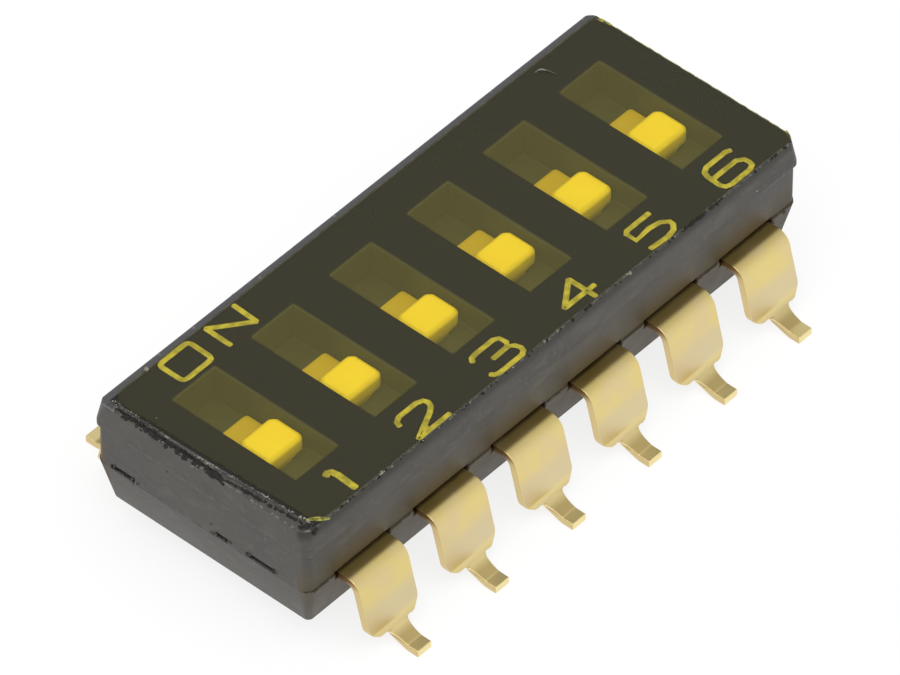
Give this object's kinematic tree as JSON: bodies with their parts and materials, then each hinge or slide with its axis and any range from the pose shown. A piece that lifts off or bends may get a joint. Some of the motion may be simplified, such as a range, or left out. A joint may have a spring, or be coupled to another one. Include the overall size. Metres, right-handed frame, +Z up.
{
  "type": "slide dip switch",
  "caption": "Low black surface-mount DIP switch with a row of yellow sliders under amber sealing tape, each moving from OFF to ON, on gold gull-wing terminals.",
  "frame": {"origin": "on the circuit board's surface, under the middle of the row", "axes": "+X along the row from position 1 to position 6, +Y towards the ON side, +Z up from the board"},
  "size_m": [0.0164, 0.0098, 0.0038],
  "materials": {
    "housing_black": "matte",
    "slider_yellow": "satin",
    "tape_amber": "clear amber film",
    "terminal_gold": "bright gold plate",
    "contact_gold": "bright gold plate"
  },
  "bodies": {
    "housing": {"cover": "housing_black", "base": "housing_black", "seal_tape": "tape_amber", "terminal_front_1": "terminal_gold", "terminal_front_2": "terminal_gold", "terminal_front_3": "terminal_gold", "terminal_front_4": "terminal_gold", "terminal_front_5": "terminal_gold", "terminal_front_6": "terminal_gold", "terminal_back_1": "terminal_gold", "terminal_back_2": "terminal_gold", "terminal_back_3": "terminal_gold", "terminal_back_4": "terminal_gold", "terminal_back_5": "terminal_gold", "terminal_back_6": "terminal_gold"},
    "actuator_1": {"slider_1": "slider_yellow", "moving_contact_1": "contact_gold"},
    "actuator_2": {"slider_2": "slider_yellow", "moving_contact_2": "contact_gold"},
    "actuator_3": {"slider_3": "slider_yellow", "moving_contact_3": "contact_gold"},
    "actuator_4": {"slider_4": "slider_yellow", "moving_contact_4": "contact_gold"},
    "actuator_5": {"slider_5": "slider_yellow", "moving_contact_5": "contact_gold"},
    "actuator_6": {"slider_6": "slider_yellow", "moving_contact_6": "contact_gold"}
  },
  "joints": [
    {"name": "slider_1_slide", "type": "slide", "parent": "housing", "child": "actuator_1", "axis": [0, 1, 0], "range_m": [0, 0.0009]},
    {"name": "slider_2_slide", "type": "slide", "parent": "housing", "child": "actuator_2", "axis": [0, 1, 0], "range_m": [0, 0.0009]},
    {"name": "slider_3_slide", "type": "slide", "parent": "housing", "child": "actuator_3", "axis": [0, 1, 0], "range_m": [0, 0.0009]},
    {"name": "slider_4_slide", "type": "slide", "parent": "housing", "child": "actuator_4", "axis": [0, 1, 0], "range_m": [0, 0.0009]},
    {"name": "slider_5_slide", "type": "slide", "parent": "housing", "child": "actuator_5", "axis": [0, 1, 0], "range_m": [0, 0.0009]},
    {"name": "slider_6_slide", "type": "slide", "parent": "housing", "child": "actuator_6", "axis": [0, 1, 0], "range_m": [0, 0.0009]}
  ]
}
